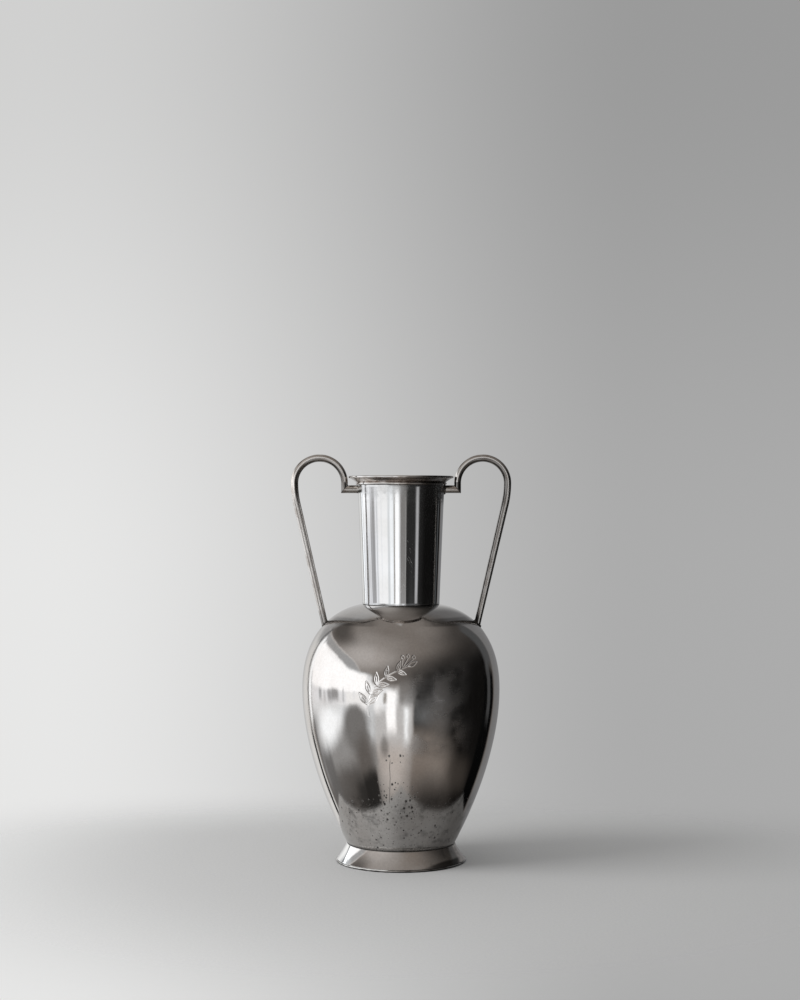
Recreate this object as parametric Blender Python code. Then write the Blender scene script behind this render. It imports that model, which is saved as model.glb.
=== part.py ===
"""Amphora vase of sheet metal: body on a flared foot, tapered neck, turned lip and two swan-neck handles."""

from math import acos, atan2, cos, hypot, pi, radians, sin, tan

import bmesh
import bpy

MM = 0.001

# Heights, from the surface the vase stands on upward
RIM_HEIGHT = 2.0 * MM
FOOT_HEIGHT = 18.0 * MM
BELLY_HEIGHT = 152.0 * MM
SHOULDER_HEIGHT = 82.35 * MM
NECK_HEIGHT = 117.1 * MM
LIP_HEIGHT = 8.9 * MM

# Outside radii
RIM_RADIUS = 64.05 * MM
BODY_FOOT_RADIUS = 53.0 * MM
BELLY_RADIUS = 97.3 * MM
NECK_BASE_RADIUS = 38.0 * MM
NECK_TOP_RADIUS = 42.85 * MM
LIP_RADIUS = 51.9 * MM

# Lengths and leans of the tangents that shape the body's curve, upright at the belly
BELLY_PULL_UP = 54.0 * MM
BELLY_PULL_DOWN = 54.6 * MM
SHOULDER_PULL = 29.1 * MM
SHOULDER_FALL = radians(9.6)
FOOT_PULL = 44.4 * MM
FOOT_FLARE = radians(28.6)

# Sheet metal and fits
WALL = 1.2 * MM
FIT = 0.3 * MM
BOTTOM_CORNER = 8.0 * MM
FLOOR_RISE = 2.0 * MM
COLLAR_HEIGHT = 6.0 * MM

# Foot skirt and the wire under it
RIM_THICKNESS = 2.4 * MM
RIM_OVERHANG = 0.9 * MM
SKIRT_HOLLOW = 0.5 * MM
SEAT_TURN = radians(32.0)

# Lip moulding
LIP_EDGE = 2.3 * MM
LIP_ROLL_WIDTH = 2.6 * MM
BEAD_PROUD = 2.35 * MM
BEAD_HEIGHT = 2.1 * MM
COVE_HOLLOW = 0.4 * MM
SPIGOT_DEPTH = 6.0 * MM
SPIGOT_WALL = 1.0 * MM

# Handles and the lugs that hold them to the neck
LUG_THICKNESS = 7.8 * MM
LUG_LIP_GAP = 0.6 * MM
HANDLE_LIP_GAP = 0.5 * MM
HANDLE_DEPTH = 8.0 * MM
LEG_WIDTH = 6.8 * MM
CROWN_WIDTH = 7.4 * MM
SEAT_WIDTH = 6.4 * MM
LOOP_RISE = 6.1 * MM
LOOP_RADIUS = 24.65 * MM
OUTER_BEND_RADIUS = 92.0 * MM
SEAT_PLACE = 0.455
LUG_SINK = 3.0 * MM
SEAT_SINK = 8.0 * MM
SECTION_SQUARENESS = 2.3

# Facets
ROUND_STEPS = 64
SECTION_SIDES = 16
SHOULDER_STEPS = 10
BELLY_STEPS = 8
CORNER_STEPS = 4
SKIRT_STEPS = 4
COVE_STEPS = 2
FLOOR_STEPS = 3
ROLL_STEPS = 4
SEAT_STEPS = 2
LOOP_STEPS = 18
BEND_STEPS = 4
SHARP_ANGLE = radians(35.0)

# Levels that follow from the heights
BELLY_Z = FOOT_HEIGHT + BELLY_HEIGHT
SHOULDER_Z = BELLY_Z + SHOULDER_HEIGHT
NECK_FOOT_Z = SHOULDER_Z + FIT
NECK_TOP_Z = NECK_FOOT_Z + NECK_HEIGHT
LIP_FOOT_Z = NECK_TOP_Z + FIT
LIP_TOP_Z = NECK_TOP_Z + LIP_HEIGHT
LUG_Z = LIP_FOOT_Z - LUG_LIP_GAP - LUG_THICKNESS / 2
CORNER_X = LIP_RADIUS + HANDLE_LIP_GAP + LEG_WIDTH / 2
LOOP_Z = LUG_Z + LOOP_RISE


def clear_scene():
    for old in list(bpy.data.objects):
        bpy.data.objects.remove(old, do_unlink=True)


def metal(name, colour, roughness):
    """A bare metal with its own colour and polish."""
    material = bpy.data.materials.new(name)
    material.use_nodes = True
    shader = material.node_tree.nodes["Principled BSDF"]
    shader.inputs["Base Color"].default_value = (*colour, 1.0)
    shader.inputs["Metallic"].default_value = 1.0
    shader.inputs["Roughness"].default_value = roughness
    return material


def as_object(name, bm, material):
    """Turns a finished bmesh into a smooth-shaded object."""
    bmesh.ops.recalc_face_normals(bm, faces=bm.faces)
    mesh = bpy.data.meshes.new(name)
    bm.to_mesh(mesh)
    bm.free()
    mesh.shade_smooth()
    mesh.set_sharp_from_angle(angle=SHARP_ANGLE)
    mesh.materials.append(material)
    obj = bpy.data.objects.new(name, mesh)
    bpy.context.collection.objects.link(obj)
    return obj


def arc(centre, radius, start, end, steps):
    """Points on an arc in the (radius, height) plane, both ends included."""
    turns = [start + (end - start) * i / steps for i in range(steps + 1)]
    return [(centre[0] + radius * cos(a), centre[1] + radius * sin(a)) for a in turns]


def bezier(ends, steps, offset=0.0):
    """Points on a cubic curve, moved sideways to the left of its travel by offset."""
    (x0, z0), (x1, z1), (x2, z2), (x3, z3) = ends
    points = []
    for i in range(steps + 1):
        t = i / steps
        s = 1.0 - t
        x = s**3 * x0 + 3 * s * s * t * x1 + 3 * s * t * t * x2 + t**3 * x3
        z = s**3 * z0 + 3 * s * s * t * z1 + 3 * s * t * t * z2 + t**3 * z3
        dx = s * s * (x1 - x0) + 2 * s * t * (x2 - x1) + t * t * (x3 - x2)
        dz = s * s * (z1 - z0) + 2 * s * t * (z2 - z1) + t * t * (z3 - z2)
        length = hypot(dx, dz)
        points.append((x - offset * dz / length, z + offset * dx / length))
    return points


def bowed(start, end, bow):
    """A cubic curve between two points that leaves the straight line by bow, to the right of its travel."""
    run_x = end[0] - start[0]
    run_z = end[1] - start[1]
    length = hypot(run_x, run_z)
    pull = bow * 4 / 3
    side = (pull * run_z / length, -pull * run_x / length)
    first = (start[0] + run_x / 3 + side[0], start[1] + run_z / 3 + side[1])
    second = (end[0] - run_x / 3 + side[0], end[1] - run_z / 3 + side[1])
    return start, first, second, end


def shoulder_curve():
    """From the neck joint outward and down to the widest place."""
    fall_x = SHOULDER_PULL * cos(SHOULDER_FALL)
    fall_z = SHOULDER_PULL * sin(SHOULDER_FALL)
    neck = (NECK_BASE_RADIUS, SHOULDER_Z)
    from_neck = (neck[0] + fall_x, neck[1] - fall_z)
    return neck, from_neck, (BELLY_RADIUS, BELLY_Z + BELLY_PULL_UP), (BELLY_RADIUS, BELLY_Z)


def belly_curve():
    """From the widest place down to the foot."""
    foot = (BODY_FOOT_RADIUS, FOOT_HEIGHT)
    to_foot = (foot[0] + FOOT_PULL * sin(FOOT_FLARE), foot[1] + FOOT_PULL * cos(FOOT_FLARE))
    return (BELLY_RADIUS, BELLY_Z), (BELLY_RADIUS, BELLY_Z - BELLY_PULL_DOWN), to_foot, foot


def corner_centre():
    """Centre of the round corner that turns the body's side into its floor."""
    x = BODY_FOOT_RADIUS - BOTTOM_CORNER * cos(FOOT_FLARE)
    return x, FOOT_HEIGHT + BOTTOM_CORNER * sin(FOOT_FLARE)


def body_side(offset):
    """The body's curve from the neck joint to the end of its bottom corner, offset outward."""
    side = bezier(shoulder_curve(), SHOULDER_STEPS, offset)
    side += bezier(belly_curve(), BELLY_STEPS, offset)[1:]
    side += arc(corner_centre(), BOTTOM_CORNER + offset, -FOOT_FLARE, -pi / 2, CORNER_STEPS)[1:]
    return side


def body_floor(offset):
    """The dished floor, from just inside the corner to the axis."""
    edge, corner_z = corner_centre()
    level = corner_z - BOTTOM_CORNER - offset
    radii = [edge * (1 - i / FLOOR_STEPS) for i in range(1, FLOOR_STEPS + 1)]
    return [(r, level + FLOOR_RISE * (1 + cos(pi * r / edge)) / 2) for r in radii]


def neck_radius(z):
    """Outside radius of the tapered neck at a height."""
    share = (z - NECK_FOOT_Z) / NECK_HEIGHT
    return NECK_BASE_RADIUS + (NECK_TOP_RADIUS - NECK_BASE_RADIUS) * share


def shoulder_slope_z(radius):
    """Height of the shoulder's tangent carried on inward under the neck."""
    return SHOULDER_Z + (NECK_BASE_RADIUS - radius) * tan(SHOULDER_FALL)


def turned(name, profile, material):
    """A solid turned round Z from a profile: a closed loop, or a chain from axis to axis."""
    bm = bmesh.new()
    verts = [bm.verts.new((radius, 0.0, z)) for radius, z in profile]
    edges = [bm.edges.new(pair) for pair in zip(verts, verts[1:])]
    if profile[0][0] > 0.0:
        edges.append(bm.edges.new((verts[-1], verts[0])))
    outline = verts + edges
    bmesh.ops.spin(bm, geom=outline, axis=(0, 0, 1), angle=2 * pi, steps=ROUND_STEPS, use_merge=True)
    bmesh.ops.remove_doubles(bm, verts=bm.verts, dist=0.001 * MM)
    return as_object(name, bm, material)


def make_foot_rim():
    """D-shaped wire the vase stands on, flat above and below and round outside."""
    nose = RIM_HEIGHT / 2
    profile = arc((RIM_RADIUS - nose, nose), nose, pi / 2, -pi / 2, ROLL_STEPS)
    inner = RIM_RADIUS - RIM_THICKNESS
    profile += [(inner, 0.0), (inner, RIM_HEIGHT)]
    return turned("foot_rim", profile, metal("rim_metal", (0.50, 0.49, 0.47), 0.22))


def make_foot():
    """Flared skirt, turned in at its top into a flange that follows the body's corner."""
    centre = corner_centre()
    flange_end = -FOOT_FLARE - SEAT_TURN
    seat = arc(centre, BOTTOM_CORNER + FIT, flange_end, -FOOT_FLARE, SEAT_STEPS)
    skirt = bowed(seat[-1], (RIM_RADIUS - RIM_OVERHANG, RIM_HEIGHT + FIT), SKIRT_HOLLOW)
    outside = bezier(skirt, SKIRT_STEPS)
    under = BOTTOM_CORNER + FIT + WALL
    inside = []
    for x, z in bezier(skirt, SKIRT_STEPS, -WALL):
        if hypot(x - centre[0], z - centre[1]) > under + WALL / 2:
            inside.append((x, max(z, skirt[-1][1])))
    root = atan2(inside[0][1] - centre[1], inside[0][0] - centre[0])
    flange = arc(centre, under, root, flange_end, SEAT_STEPS)
    profile = seat[:-1] + outside + inside[::-1] + flange
    return turned("foot", profile, metal("foot_metal", (0.50, 0.48, 0.46), 0.18))


def make_body():
    """Spun shell: an upstand inside the neck, the shoulder, the belly and a dished floor."""
    collar_z = NECK_FOOT_Z + COLLAR_HEIGHT
    root = NECK_BASE_RADIUS - WALL - FIT
    tip = neck_radius(collar_z) - WALL - FIT
    outside = [(tip, collar_z), (root, shoulder_slope_z(root))]
    outside += body_side(0.0) + body_floor(0.0)
    inside = [(tip - WALL, collar_z), (root - WALL, shoulder_slope_z(root) - WALL)]
    inside += body_side(-WALL) + body_floor(-WALL)
    return turned("body", outside[::-1] + inside, metal("body_metal", (0.44, 0.42, 0.40), 0.20))


def make_neck():
    """Straight tapered tube, its foot cut to the shoulder's slope."""
    bore_foot = NECK_BASE_RADIUS - WALL
    profile = [(NECK_TOP_RADIUS, NECK_TOP_Z), (NECK_BASE_RADIUS, NECK_FOOT_Z)]
    profile += [(bore_foot, shoulder_slope_z(bore_foot) + FIT), (NECK_TOP_RADIUS - WALL, NECK_TOP_Z)]
    return turned("neck", profile, metal("neck_metal", (0.60, 0.59, 0.58), 0.10))


def make_lip():
    """Turned ring: rolled edge, cove and bead outside, a trumpet mouth inside and a spigot in the neck."""
    nose = LIP_EDGE / 2
    edge = arc((LIP_RADIUS - nose, LIP_TOP_Z - nose), nose, pi / 2, -pi / 2, ROLL_STEPS)
    bead = BEAD_HEIGHT / 2
    bead_x = NECK_TOP_RADIUS + BEAD_PROUD - bead
    beading = arc((bead_x, LIP_FOOT_Z + bead), bead, pi / 2, -pi / 2, ROLL_STEPS)
    cove = bezier(bowed(edge[-1], beading[0], COVE_HOLLOW), COVE_STEPS)
    spigot_z = NECK_TOP_Z - SPIGOT_DEPTH
    spigot = NECK_TOP_RADIUS - WALL - FIT
    spigot_tip = neck_radius(spigot_z) - WALL - FIT
    tail = [(spigot, LIP_FOOT_Z), (spigot_tip, spigot_z), (spigot_tip - SPIGOT_WALL, spigot_z)]
    throat = (spigot - SPIGOT_WALL, NECK_TOP_Z)
    mouth = (LIP_RADIUS - LIP_ROLL_WIDTH, LIP_TOP_Z)
    flare = (throat, (throat[0], LIP_TOP_Z - nose), (throat[0] + LIP_EDGE, LIP_TOP_Z - nose), mouth)
    trumpet = bezier(flare, ROLL_STEPS)
    profile = edge + cove[1:] + beading[1:] + tail + trumpet
    return turned("lip", profile, metal("lip_metal", (0.42, 0.39, 0.37), 0.22))


def section(width, depth):
    """A rounded oval, as offsets across the bar in its own plane and along Y."""
    power = 2.0 / SECTION_SQUARENESS
    points = []
    for i in range(SECTION_SIDES):
        c = cos(2 * pi * i / SECTION_SIDES)
        s = sin(2 * pi * i / SECTION_SIDES)
        across = width / 2 * abs(c) ** power * (1 if c >= 0 else -1)
        points.append((across, depth / 2 * abs(s) ** power * (1 if s >= 0 else -1)))
    return points


def swept(name, stations, side, material):
    """A bar through stations (x, z, heading, width, slant, shift), mirrored to side +1 or -1."""
    bm = bmesh.new()
    rings = []
    for x, z, heading, width, slant, shift in stations:
        ring = []
        for across, y in section(width, HANDLE_DEPTH):
            along = shift + slant * across
            px = x - across * sin(heading) + along * cos(heading)
            pz = z + across * cos(heading) + along * sin(heading)
            ring.append(bm.verts.new((side * px, y, pz)))
        rings.append(ring)
    for near, far in zip(rings, rings[1:]):
        for i in range(SECTION_SIDES):
            j = (i + 1) % SECTION_SIDES
            bm.faces.new((near[i], near[j], far[j], far[i]))
    bm.faces.new(rings[0])
    bm.faces.new(rings[-1][::-1])
    return as_object(name, bm, material)


def handle_stations():
    """Up from the mitre, over the loop, round the outer bend and straight down to the shoulder."""
    mitre = hypot(LEG_WIDTH, LUG_THICKNESS)
    start = FIT / 2 * mitre / LEG_WIDTH
    stations = [(CORNER_X, LUG_Z, pi / 2, LEG_WIDTH, LUG_THICKNESS / LEG_WIDTH, start)]
    loop_x = CORNER_X + LOOP_RADIUS
    for i in range(LOOP_STEPS + 1):
        share = i / LOOP_STEPS
        angle = pi * (1 - share)
        width = LEG_WIDTH + (CROWN_WIDTH - LEG_WIDTH) * min(1.0, 2 * share)
        x = loop_x + LOOP_RADIUS * cos(angle)
        stations.append((x, LOOP_Z + LOOP_RADIUS * sin(angle), angle - pi / 2, width, 0.0, 0.0))
    bend_x = loop_x + LOOP_RADIUS - OUTER_BEND_RADIUS
    seat_x, seat_z = seat_point()
    reach = hypot(seat_x - bend_x, seat_z - LOOP_Z)
    lean = -atan2(seat_z - LOOP_Z, seat_x - bend_x) - acos(OUTER_BEND_RADIUS / reach)
    for i in range(1, BEND_STEPS + 1):
        angle = -lean * i / BEND_STEPS
        x = bend_x + OUTER_BEND_RADIUS * cos(angle)
        z = LOOP_Z + OUTER_BEND_RADIUS * sin(angle)
        stations.append((x, z, angle - pi / 2, CROWN_WIDTH, 0.0, 0.0))
    heading = -lean - pi / 2
    stations.append((seat_x, seat_z, heading, SEAT_WIDTH, 0.0, SEAT_SINK))
    return stations


def seat_point():
    """Where the middle of a handle meets the shoulder, SEAT_PLACE of the way down its curve."""
    curve = shoulder_curve()
    s = 1.0 - SEAT_PLACE
    weights = (s**3, 3 * s * s * SEAT_PLACE, 3 * s * SEAT_PLACE**2, SEAT_PLACE**3)
    return tuple(sum(w * p[axis] for w, p in zip(weights, curve)) for axis in (0, 1))


def lug_stations():
    """Out from inside the neck's wall to the mitre under the handle's inner leg."""
    mitre = hypot(LEG_WIDTH, LUG_THICKNESS)
    start = neck_radius(LUG_Z) - LUG_SINK
    end = -FIT / 2 * mitre / LUG_THICKNESS
    inner = (start, LUG_Z, 0.0, LUG_THICKNESS, 0.0, 0.0)
    outer = (CORNER_X, LUG_Z, 0.0, LUG_THICKNESS, -LEG_WIDTH / LUG_THICKNESS, end)
    return [inner, outer]


def cutter(name, profile):
    """A turned solid that only cuts others."""
    obj = turned(name, profile, metal(name, (0.8, 0.2, 0.1), 0.5))
    obj.hide_render = True
    obj.display_type = "WIRE"
    return obj


def cut(obj, tool):
    modifier = obj.modifiers.new("seat", "BOOLEAN")
    modifier.operation = "DIFFERENCE"
    modifier.solver = "EXACT"
    modifier.object = tool


def make_handles():
    """Both handles and both lugs, each cut to the surface it is soldered to."""
    side_profile = body_side(FIT)
    top_z = side_profile[0][1]
    bottom_z = side_profile[-1][1]
    body_tool = cutter("body_clearance", [(0.0, top_z), *side_profile, (0.0, bottom_z)])
    neck_side = [(NECK_BASE_RADIUS + FIT, NECK_FOOT_Z), (NECK_TOP_RADIUS + FIT, NECK_TOP_Z)]
    neck_tool = cutter("neck_clearance", [(0.0, NECK_FOOT_Z), *neck_side, (0.0, NECK_TOP_Z)])
    made = []
    for word, side in (("left", -1), ("right", 1)):
        bar_metal = metal(f"handle_{word}_metal", (0.36, 0.33, 0.31), 0.26)
        handle = swept(f"handle_{word}", handle_stations(), side, bar_metal)
        cut(handle, body_tool)
        lug_metal = metal(f"lug_{word}_metal", (0.33, 0.30, 0.28), 0.30)
        lug = swept(f"lug_{word}", lug_stations(), side, lug_metal)
        cut(lug, neck_tool)
        made += [handle, lug]
    return made + [body_tool, neck_tool]


def main():
    clear_scene()
    vase = bpy.data.objects.new("amphora_vase", None)
    bpy.context.collection.objects.link(vase)
    pieces = [make_foot_rim(), make_foot(), make_body(), make_neck(), make_lip(), *make_handles()]
    for piece in pieces:
        piece.parent = vase


main()
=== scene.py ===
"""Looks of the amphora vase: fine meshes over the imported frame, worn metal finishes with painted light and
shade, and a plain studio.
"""

from math import acos, atan2, cos, degrees, hypot, pi, radians, sin, sqrt, tan

import bmesh
import bpy
import numpy as np
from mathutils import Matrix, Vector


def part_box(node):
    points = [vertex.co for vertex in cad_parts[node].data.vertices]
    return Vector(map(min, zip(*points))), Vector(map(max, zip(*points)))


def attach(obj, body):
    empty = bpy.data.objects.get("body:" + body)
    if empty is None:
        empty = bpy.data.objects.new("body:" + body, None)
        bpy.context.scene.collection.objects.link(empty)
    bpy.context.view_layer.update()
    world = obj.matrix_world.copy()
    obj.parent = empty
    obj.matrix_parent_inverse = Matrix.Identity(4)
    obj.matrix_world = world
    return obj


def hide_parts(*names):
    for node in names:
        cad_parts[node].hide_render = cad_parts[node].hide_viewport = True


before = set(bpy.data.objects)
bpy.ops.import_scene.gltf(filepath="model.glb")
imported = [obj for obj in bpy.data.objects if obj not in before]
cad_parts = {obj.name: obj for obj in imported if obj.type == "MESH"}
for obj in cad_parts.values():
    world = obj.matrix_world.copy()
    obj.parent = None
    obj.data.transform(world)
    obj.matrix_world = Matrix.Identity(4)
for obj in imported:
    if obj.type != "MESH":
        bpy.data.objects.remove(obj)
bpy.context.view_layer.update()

MM = 0.001

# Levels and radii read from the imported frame
RIM_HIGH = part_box("foot_rim")[1]
BODY_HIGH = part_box("body")[1]
NECK_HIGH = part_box("neck")[1]
LIP_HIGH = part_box("lip")[1]
RIM_HEIGHT = RIM_HIGH.z
RIM_RADIUS = RIM_HIGH.x
BELLY_RADIUS = BODY_HIGH.x
NECK_TOP_RADIUS = NECK_HIGH.x
LIP_RADIUS = LIP_HIGH.x

# Sheet metal, fits and heights, as in the solids
WALL = 1.2 * MM
FIT = 0.3 * MM
COLLAR_HEIGHT = 6.0 * MM
FOOT_HEIGHT = 18.0 * MM
BELLY_HEIGHT = 152.0 * MM
SHOULDER_HEIGHT = 82.35 * MM
NECK_HEIGHT = 117.1 * MM
LIP_HEIGHT = 8.9 * MM

# Body: radii, and the tangents that shape its curve
NECK_BASE_RADIUS = 38.0 * MM
BODY_FOOT_RADIUS = 53.0 * MM
BELLY_PULL_UP = 54.0 * MM
BELLY_PULL_DOWN = 54.6 * MM
SHOULDER_PULL = 29.1 * MM
SHOULDER_FALL = radians(9.6)
FOOT_PULL = 44.4 * MM
FOOT_FLARE = radians(28.6)
BOTTOM_CORNER = 8.0 * MM
FLOOR_RISE = 2.0 * MM

# Foot skirt and the wire under it
RIM_THICKNESS = 2.4 * MM
RIM_OVERHANG = 0.9 * MM
SKIRT_HOLLOW = 0.5 * MM
SEAT_TURN = radians(32.0)

# Lip moulding
LIP_EDGE = 2.3 * MM
LIP_ROLL_WIDTH = 2.6 * MM
BEAD_PROUD = 2.35 * MM
BEAD_HEIGHT = 2.1 * MM
COVE_HOLLOW = 0.4 * MM
SPIGOT_DEPTH = 6.0 * MM
SPIGOT_WALL = 1.0 * MM

# Handles and lugs
LUG_THICKNESS = 7.8 * MM
LUG_LIP_GAP = 0.6 * MM
HANDLE_LIP_GAP = 0.5 * MM
HANDLE_DEPTH = 8.0 * MM
LEG_WIDTH = 6.8 * MM
CROWN_WIDTH = 7.4 * MM
SEAT_WIDTH = 6.4 * MM
LOOP_RISE = 6.1 * MM
LOOP_RADIUS = 24.65 * MM
OUTER_BEND_RADIUS = 92.0 * MM
SEAT_PLACE = 0.455
SECTION_SQUARENESS = 2.3
MITRE = hypot(LEG_WIDTH, LUG_THICKNESS)
MITRE_INSET = 0.975
END_INSET = 0.93

# Levels and places that follow
BELLY_Z = FOOT_HEIGHT + BELLY_HEIGHT
SHOULDER_Z = BELLY_Z + SHOULDER_HEIGHT
NECK_FOOT_Z = SHOULDER_Z + FIT
NECK_TOP_Z = NECK_FOOT_Z + NECK_HEIGHT
LIP_FOOT_Z = NECK_TOP_Z + FIT
LIP_TOP_Z = NECK_TOP_Z + LIP_HEIGHT
LUG_Z = LIP_FOOT_Z - LUG_LIP_GAP - LUG_THICKNESS / 2
CORNER_X = LIP_RADIUS + HANDLE_LIP_GAP + LEG_WIDTH / 2
LOOP_X = CORNER_X + LOOP_RADIUS
LOOP_Z = LUG_Z + LOOP_RISE
BEND_X = LOOP_X + LOOP_RADIUS - OUTER_BEND_RADIUS

# Outline of the body, in (radius, height)
SHOULDER_CURVE = (
    (NECK_BASE_RADIUS, SHOULDER_Z),
    (NECK_BASE_RADIUS + SHOULDER_PULL * cos(SHOULDER_FALL), SHOULDER_Z - SHOULDER_PULL * sin(SHOULDER_FALL)),
    (BELLY_RADIUS, BELLY_Z + BELLY_PULL_UP),
    (BELLY_RADIUS, BELLY_Z),
)
BELLY_CURVE = (
    (BELLY_RADIUS, BELLY_Z),
    (BELLY_RADIUS, BELLY_Z - BELLY_PULL_DOWN),
    (BODY_FOOT_RADIUS + FOOT_PULL * sin(FOOT_FLARE), FOOT_HEIGHT + FOOT_PULL * cos(FOOT_FLARE)),
    (BODY_FOOT_RADIUS, FOOT_HEIGHT),
)
CORNER_CENTRE = (
    BODY_FOOT_RADIUS - BOTTOM_CORNER * cos(FOOT_FLARE),
    FOOT_HEIGHT + BOTTOM_CORNER * sin(FOOT_FLARE),
)

# Fineness of the meshes
PLAIN_COLUMNS = 288
FLOOR_COLUMNS = 96
SOFT_EDGE = 0.22 * MM
EDGE_STEPS = 3
CORNER_TURN = radians(24.0)
ROUND_STEPS = 14
SECTION_SIDES = 48
LOOP_STEPS = 72
BEND_STEPS = 12
LEG_STEPS = 30
LUG_STEPS = 8
BEAD_SIDES = 12
ENGRAVED_STEP = 0.3 * MM
PLAIN_STEP = 2.2 * MM

# Low waves left by spinning and hammering out dents: count round, mm up, phase and share of each
WAVE_DEPTH = 0.05 * MM
WAVES = ((3, 23, 0.6, 0.34), (5, -17, 2.1, 0.26), (9, 11, 4.0, 0.22), (14, -8, 1.3, 0.18))

# How a thread of solder swells along its length: share and count of each wave
SWELLS = ((0.18, 2), (0.14, 3), (0.10, 5), (0.06, 9))

# Engraved sprig, on the side that faces the camera: its field, its groove, and its lines in mm
SPRIG_LOW = 150.0 * MM
SPRIG_HIGH = 213.0 * MM
SPRIG_LEFT = -42.0 * MM
SPRIG_RIGHT = 24.0 * MM
GROOVE_WIDTH = 1.1 * MM
GROOVE_DEPTH = 0.28 * MM
GROOVE_MASK = "groove"
STEM = ((-31.0, 153.0), (-36.0, 176.0), (-20.0, 190.0), (6.0, 199.0))
LEAF_PAIRS = 5
LEAF_LENGTH = 15.0
LEAF_SLENDER = 0.34
LEAF_SPREAD = radians(44.0)
BERRIES = ((1.5, 207.5), (7.0, 208.5), (12.5, 207.5))
BERRY_RADIUS = 1.5

# Hairline down the lower front, in mm
HAIRLINE_X = -10.8
HAIRLINE_Z = (70, 109)

# Colours of rust, the hairline, cut metal, the cove's tarnish and the painted highlights
OXIDE = (0.028, 0.025, 0.023)
SCRATCH = (0.12, 0.10, 0.09)
CUT_METAL = (0.74, 0.72, 0.70)
COVE_BROWN = (0.36, 0.31, 0.275)
FOOT_HIGHLIGHT = (0.92, 0.92, 0.91)
WIRE_HIGHLIGHT = (0.85, 0.85, 0.84)
BAR_HIGHLIGHT = (0.92, 0.90, 0.88)

# Studio: what the metal reflects of its light, its levels, and how far edges waver
BODY_REFLECTS = (0.58, 0.56, 0.54)
DAYLIGHT = (1.72, 1.74, 1.78)
WALL_LEFT = (0.98, 0.98, 0.97)
WALL_RIGHT = (0.235, 0.235, 0.24)
# Backdrop with painted light: paler on the left, darker on the right and shaded towards the top
BACKDROP_LEFT = (0.80, 0.80, 0.795)
BACKDROP_RIGHT = (0.41, 0.41, 0.41)
BACKDROP_TOP_SHADE = 0.79
BEHIND_LIGHT = (0.58, 0.58, 0.58)
PLAIN_LEVEL = (0.62, 0.62, 0.62)
WAVER_TURN = 3.0
WAVER_RISE = 2.0

# Floor, in metres: its reach, where it fades, its painted shade to the right, deeper where the metal mirrors
# it, and where its mirrored corner ends
FLOOR_REACH = 1.1
FLOOR_GREYS = ((0.48, 0.48, 0.48), (0.52, 0.52, 0.515))
FLOOR_FADE = (0.20, 0.62)
FLOOR_BACK_FADE = (0.12, 0.46)
FLOOR_RIGHT_SHADE = 0.96
FLOOR_RIGHT_MIRRORED_SHADE = 0.68
MIRRORED_CORNER = 0.169
MIRRORED_SOFT = 0.010

# Broad light from the left front, which draws the soft shadow to the right
LAMP_SIZE = (1.1, 0.9)
LAMP_POWER = 27.0
LAMP_PLACE = (-1.5, -0.5, 0.95)
LAMP_TURN = (radians(60.0), 0.0, radians(-72.0))

# Camera, solved from the photograph: level, at the height of the lip
CAMERA_PLACE = (-0.001, -1.7764, 0.3549)
CAMERA_LENS = 64.8
CAMERA_SENSOR = 36.0


# Curves


def arc(centre, radius, start, end, steps):
    """Points on an arc in the (radius, height) plane, both ends included."""
    turns = [start + (end - start) * i / steps for i in range(steps + 1)]
    return [(centre[0] + radius * cos(a), centre[1] + radius * sin(a)) for a in turns]


def bezier_at(ends, t, offset=0.0):
    """A point on a cubic curve, moved sideways to the left of its travel by offset."""
    (x0, z0), (x1, z1), (x2, z2), (x3, z3) = ends
    s = 1.0 - t
    x = s**3 * x0 + 3 * s * s * t * x1 + 3 * s * t * t * x2 + t**3 * x3
    z = s**3 * z0 + 3 * s * s * t * z1 + 3 * s * t * t * z2 + t**3 * z3
    dx = s * s * (x1 - x0) + 2 * s * t * (x2 - x1) + t * t * (x3 - x2)
    dz = s * s * (z1 - z0) + 2 * s * t * (z2 - z1) + t * t * (z3 - z2)
    length = hypot(dx, dz)
    return x - offset * dz / length, z + offset * dx / length


def bezier(ends, steps, offset=0.0):
    return [bezier_at(ends, i / steps, offset) for i in range(steps + 1)]


def bowed(start, end, bow):
    """A cubic curve between two points that leaves the straight line by bow, to the right of its travel."""
    run_x = end[0] - start[0]
    run_z = end[1] - start[1]
    pull = bow * 4 / 3 / hypot(run_x, run_z)
    side = (pull * run_z, -pull * run_x)
    first = (start[0] + run_x / 3 + side[0], start[1] + run_z / 3 + side[1])
    second = (end[0] - run_x / 3 + side[0], end[1] - run_z / 3 + side[1])
    return start, first, second, end


def line(start, end, steps):
    """Evenly spaced points on a straight line, both ends included."""
    shares = [i / steps for i in range(steps + 1)]
    return [(start[0] + (end[0] - start[0]) * t, start[1] + (end[1] - start[1]) * t) for t in shares]


def neck_radius(z):
    share = (z - NECK_FOOT_Z) / NECK_HEIGHT
    return NECK_BASE_RADIUS + (NECK_TOP_RADIUS - NECK_BASE_RADIUS) * share


def shoulder_slope_z(radius):
    """Height at which the shoulder's slope goes on under the neck."""
    return SHOULDER_Z + (NECK_BASE_RADIUS - radius) * tan(SHOULDER_FALL)


def shoulder_height(radius):
    """Height of the shoulder's surface at a radius."""
    low, high = 0.0, 1.0
    for _ in range(40):
        middle = (low + high) / 2
        if bezier_at(SHOULDER_CURVE, middle)[0] < radius:
            low = middle
        else:
            high = middle
    return bezier_at(SHOULDER_CURVE, low)[1]


def seat_point():
    return bezier_at(SHOULDER_CURVE, SEAT_PLACE)


def leg_lean():
    """How far a handle's leg leans from upright, to run from the outer bend to its seat."""
    seat_x, seat_z = seat_point()
    reach = hypot(seat_x - BEND_X, seat_z - LOOP_Z)
    return -atan2(seat_z - LOOP_Z, seat_x - BEND_X) - acos(OUTER_BEND_RADIUS / reach)


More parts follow.
